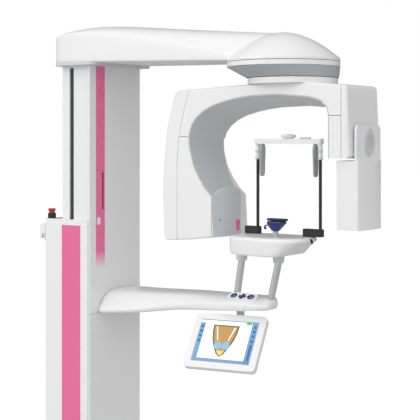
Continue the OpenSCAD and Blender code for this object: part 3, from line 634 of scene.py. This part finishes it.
def display():
    lit = 0.55
    white = glowing("lit_white", (0.85, 0.9, 0.93), lit)
    blue = glowing("lit_blue", (0.14, 0.26, 0.40), lit)
    dark = glowing("lit_dark_blue", (0.02, 0.12, 0.34), lit)
    tooth = glowing("lit_sky", (0.20, 0.38, 0.56), lit)
    bone = glowing("lit_bone", (0.40, 0.22, 0.06), lit)
    olive = glowing("lit_olive", (0.13, 0.11, 0.05), lit)
    yellow = glowing("lit_yellow", (0.80, 0.52, 0.10), lit)
    green = glowing("lit_green", (0.05, 0.42, 0.10), lit)
    w, h = 101, 75
    on_screen("display_page", rect(-w, w, -h, h), white, 0.0)
    on_screen("display_left_bar", rect(-w, -w + 17, -h, h - 12), blue, 0.3)
    on_screen("display_bottom_bar", rect(-w + 17, w, -h, -h + 12), blue, 0.3)
    on_screen("display_right_bar", rect(w - 22, w, -h, h), blue, 0.3)
    on_screen("display_right_column", rect(w - 14, w - 5, -h + 14, h - 14), dark, 0.6)
    on_screen("display_top_edge", rect(-w, w - 22, h - 3, h), blue, 0.3)
    on_screen("display_ready_mark", rect(w - 42, w - 24, h - 11, h - 1), green, 0.6)
    for index in range(4):
        z = h - 26 - 17 * index
        on_screen(f"display_tile_{index}", round_rect(-w + 4, -w + 13, z - 4.5, z + 4.5, 2), dark, 0.6)
        on_screen(f"display_tile_right_{index}", round_rect(w - 12, w - 7, z - 3, z + 3, 1.2), tooth, 0.9)
    cx = -8

    def jaw(scale, drop=0):
        left = [(-46, 58), (-44, 30), (-38, 4), (-27, -22), (-13, -46), (0, -56)]
        right = [(-x, z) for x, z in left[-2::-1]]
        return [(cx + x * scale, z * scale + drop) for x, z in left + right]

    on_screen("display_jaw_rim", jaw(1.0), olive, 0.3)
    on_screen("display_jaw", jaw(0.86, 3), bone, 0.6)
    tip = [(cx - 14, -34), (cx + 14, -34), (cx + 7, -46), (cx, -50), (cx - 7, -46)]
    on_screen("display_jaw_tip", tip, yellow, 0.9)
    for side in (-1, 1):
        ring = ellipse(cx + side * 14, -16, 13, 14, 28)
        on_screen(f"display_focus_{side + 1}", ring, tooth, 0.9)
        line = [(cx + side * 34, 50), (cx + side * 30, 51), (cx + side * 17, 4), (cx + side * 20, 2)]
        on_screen(f"display_guide_{side + 1}", line, white, 1.2)


# ---------- small trim ----------

def column_trim():
    """Black seal strips in the side slots, also standing in for the shade deep in the grooves; the dark inlay
    and the lamp on the pink stripe.
    """
    top = COVER_HI.z - 8
    for side, name in ((-1, "near"), (1, "far")):
        y0, y1 = sorted((side * 120.2, side * 122.4))
        # The black here is partly the slots' seal and partly painted shade deep in the grooves.
        seal_and_shade = prism(f"slot_seal_and_shade_{name}", rect(*SLOT, y0, y1), "Z", 470, top)
        piece(rounded(seal_and_shade, 0.4), "carriage", "motor_case")
    x = COVER_HI.x
    inlay = prism("stripe_inlay", round_rect(-72, -66, 1356, 1489, 2.5, 4), "X", x - 0.6, x + 0.5)
    piece(rounded(inlay, 0.25), "carriage", "black")
    lamp = prism("ready_lamp", round_rect(-99, -82, 1304, 1330, 4, 5), "X", x - 0.6, x + 0.9)
    piece(rounded(lamp, 0.5), "carriage", "shell", MATERIALS["shell"])


def collimator_trim():
    """The alignment laser's pink light, painted as a thin patch on the beam window that fades to grey at its
    near end, and the alignment light's dot.
    """
    lo, hi = [v * 1000 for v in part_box("collimator_nose")]
    # The pink here is painted light: the laser's light falling on the window, fading out towards the near
    # end.
    laser_light_paint = faded("painted_laser_light", PINK, GREY, "Y", -50, -26)
    light_patch = prism("laser_light_patch", round_rect(-52, 32, 1301, 1338, 5, 5), "X", hi.x - 0.4, hi.x + 0.5)
    for vertex in light_patch.data.vertices:
        y = vertex.co.y / MM
        if y < -36:
            vertex.co.x -= (-36 - y) * 0.155 * MM
    piece(rounded(light_patch, 0.3), "c_arm", "pink", laser_light_paint)
    dot = ellipse(-69, 1341, 3, 3, 16)
    piece(rounded(prism("alignment_light", dot, "X", hi.x - 10.5, hi.x - 6.8), 0.4), "c_arm", "black")


def base_screws():
    """Hexagon heads on the foot brackets."""
    for i, x in enumerate((-60, 40)):
        for side in (-1, 1):
            y = side * 168
            head = ellipse(x, y, 7.6, 7.6, 6)
            name = f"foot_screw_{i}_{'near' if side < 0 else 'far'}"
            piece(rounded(prism(name, head, "Z", 24.5, 30), 0.6), "root", "steel")


dress_cad_nodes()
shoulder()
c_arm_covers()
lower_arm()
patient_table()
chin_rest()
temple_pads()
temple_support_trim()
post_collars()
key_shapes()
display()
column_trim()
collimator_trim()
base_screws()


# ---------- floor, light, camera ----------

def seen_by_camera(nodes):
    return nodes.add("ShaderNodeLightPath").outputs["Is Camera Ray"]


def stage():
    """A pale floor that looks white and keeps soft shadows, and throws some light back up."""
    reach = 40000
    corners = [(-reach, -reach, -1), (reach, -reach, -1), (reach, reach, -1), (-reach, reach, -1)]
    floor = build("floor", corners, [(0, 1, 2, 3)], smooth=False)
    n = Nodes("floor_paint")
    paint = n.mix(seen_by_camera(n), (0.60, 0.60, 0.60, 1), (0.96, 0.96, 0.96, 1))
    n.link(paint, n.shader.inputs["Base Color"])
    n.shader.inputs["Roughness"].default_value = 0.9
    n.shader.inputs["Emission Color"].default_value = (1, 1, 1, 1)
    n.link(n.spread(seen_by_camera(n), 0.0, 0.30, 0.0, 1.0), n.shader.inputs["Emission Strength"])
    floor.data.materials.append(n.material)


def light(name, place, target, size, power):
    lamp = bpy.data.lights.new(name, "AREA")
    lamp.shape = "DISK"
    lamp.size = size
    lamp.energy = power
    obj = bpy.data.objects.new(name, lamp)
    obj.location = place
    obj.rotation_euler = (Vector(target) - Vector(place)).to_track_quat("-Z", "Y").to_euler()
    bpy.context.scene.collection.objects.link(obj)


def world():
    """White backdrop; the light itself comes softly from the operator's side and a little from above."""
    sky = bpy.data.worlds.new("studio")
    sky.use_nodes = True
    tree = sky.node_tree
    place = tree.nodes.new("ShaderNodeTexCoord").outputs["Generated"]
    lean = tree.nodes.new("ShaderNodeVectorMath")
    lean.operation = "DOT_PRODUCT"
    lean.inputs[1].default_value = (0.11, -0.60, 0.24)
    tree.links.new(place, lean.inputs[0])
    level = tree.nodes.new("ShaderNodeMath")
    level.operation = "ADD"
    level.inputs[1].default_value = 0.64
    tree.links.new(lean.outputs["Value"], level.inputs[0])
    floor_level = tree.nodes.new("ShaderNodeMath")
    floor_level.operation = "MAXIMUM"
    floor_level.inputs[1].default_value = 0.04
    tree.links.new(level.outputs[0], floor_level.inputs[0])
    seen = tree.nodes.new("ShaderNodeLightPath").outputs["Is Camera Ray"]
    choose = tree.nodes.new("ShaderNodeMix")
    choose.inputs["B"].default_value = 1.0
    tree.links.new(seen, choose.inputs["Factor"])
    tree.links.new(floor_level.outputs[0], choose.inputs["A"])
    background = tree.nodes["Background"]
    background.inputs["Color"].default_value = (1, 1, 1, 1)
    tree.links.new(choose.outputs[0], background.inputs["Strength"])
    bpy.context.scene.world = sky
    bpy.context.scene.view_settings.view_transform = "Standard"


def camera():
    data = bpy.data.cameras.new("camera")
    data.lens = 100
    data.sensor_width = 36
    data.clip_end = 200
    data.shift_y = -0.174
    obj = bpy.data.objects.new("camera", data)
    obj.location = (2.829, -3.174, 1.612)
    obj.rotation_euler = (math.radians(90), 0, math.radians(36))
    bpy.context.scene.collection.objects.link(obj)
    bpy.context.scene.camera = obj


stage()
world()
light("key", (-1.6, -4.6, 3.4), (0.4, 0, 1.4), 2.2, 30)
camera()
